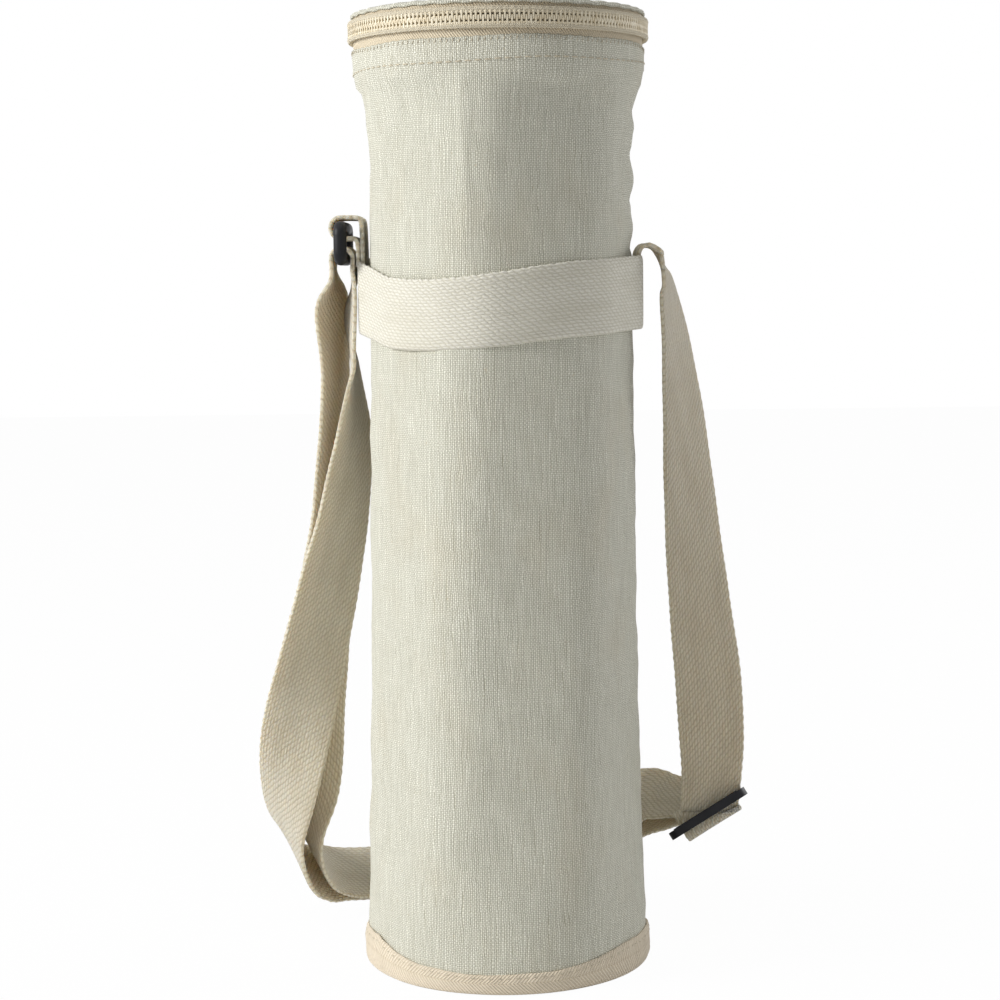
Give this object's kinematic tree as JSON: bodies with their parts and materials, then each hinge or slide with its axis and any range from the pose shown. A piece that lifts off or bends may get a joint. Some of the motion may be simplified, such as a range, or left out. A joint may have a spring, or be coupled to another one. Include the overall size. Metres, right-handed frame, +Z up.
{
  "type": "bottle carrier",
  "caption": "Tall round insulated cloth bottle carrier with a zip-round flat lid, a webbing band and an adjustable webbing shoulder strap hung from a ring.",
  "frame": {"origin": "centre of the round base on the surface it stands on", "axes": "+Z up along the tube, +Y to the back where the lid hinges, +X to the user's right with the adjuster hanging there"},
  "size_m": [0.1759, 0.1284, 0.3239],
  "materials": {
    "linen": "woven, matt",
    "foam": "closed-cell foam, matt",
    "liner": "coated film, silvery grey",
    "binding": "herringbone tape",
    "zip_cloth": "twill tape",
    "zip_coil": "satin nylon",
    "webbing": "coarse cotton webbing",
    "black_plastic": "smooth moulded",
    "zip_metal": "cream enamel"
  },
  "bodies": {
    "bag": {"outer_shell": "linen", "foam_wall": "foam", "liner_wall": "liner", "base_cover": "linen", "base_foam": "foam", "base_liner": "liner", "base_binding": "binding", "zip_tape_lower": "zip_cloth", "zip_coil_lower": "zip_coil", "lid_hinge_strip": "linen", "band_webbing": "webbing", "ring_loop_root": "webbing", "strap_root": "webbing"},
    "lid": {"lid_cover": "linen", "lid_foam": "foam", "lid_liner": "liner", "zip_tape_upper": "zip_cloth", "zip_coil_upper": "zip_coil"},
    "slider": {"zip_slider": "zip_metal"},
    "pull": {"zip_pull": "zip_metal"},
    "strap": {"ring_loop": "webbing", "strap_ring_turn": "webbing", "strap_left_front": "webbing", "strap_left_rear": "webbing", "strap_long_back": "webbing", "strap_short_back": "webbing", "strap_right_upper": "webbing", "strap_right_lower": "webbing"},
    "ring": {"strap_ring": "black_plastic"},
    "adjuster": {"tri_glide": "black_plastic", "strap_glide_pass": "webbing", "strap_end_fold": "webbing"}
  },
  "joints": [
    {"name": "lid_hinge", "type": "hinge", "parent": "bag", "child": "lid", "pos_m": [0, 0.049, 0.316], "axis": [-1, 0, 0], "range_deg": [0, 150], "deforming": ["lid_hinge_strip"]},
    {"name": "zip_travel", "type": "hinge", "parent": "bag", "child": "slider", "pos_m": [0, 0, 0.316], "axis": [0, 0, -1], "range_deg": [0, 289], "deforming": ["zip_coil_lower", "zip_coil_upper", "zip_tape_upper"]},
    {"name": "pull_swing", "type": "hinge", "parent": "slider", "child": "pull", "pos_m": [0.03114, 0.04448, 0.316], "axis": [0.8192, -0.5736, 0], "range_deg": [0, 160]},
    {"name": "strap_swing", "type": "hinge", "parent": "bag", "child": "strap", "pos_m": [0, 0.004, 0.249], "axis": [1, 0, 0], "range_deg": [0, 145]},
    {"name": "ring_rock", "type": "hinge", "parent": "strap", "child": "ring", "pos_m": [-0.0533, 0.004, 0.2516], "axis": [0, 1, 0], "range_deg": [-2.5, 2.5]},
    {"name": "adjuster_slide", "type": "slide", "parent": "strap", "child": "adjuster", "axis": [0, 0, 1], "range_m": [0, 0.03], "deforming": ["strap_right_lower", "strap_long_back", "strap_short_back"]}
  ]
}
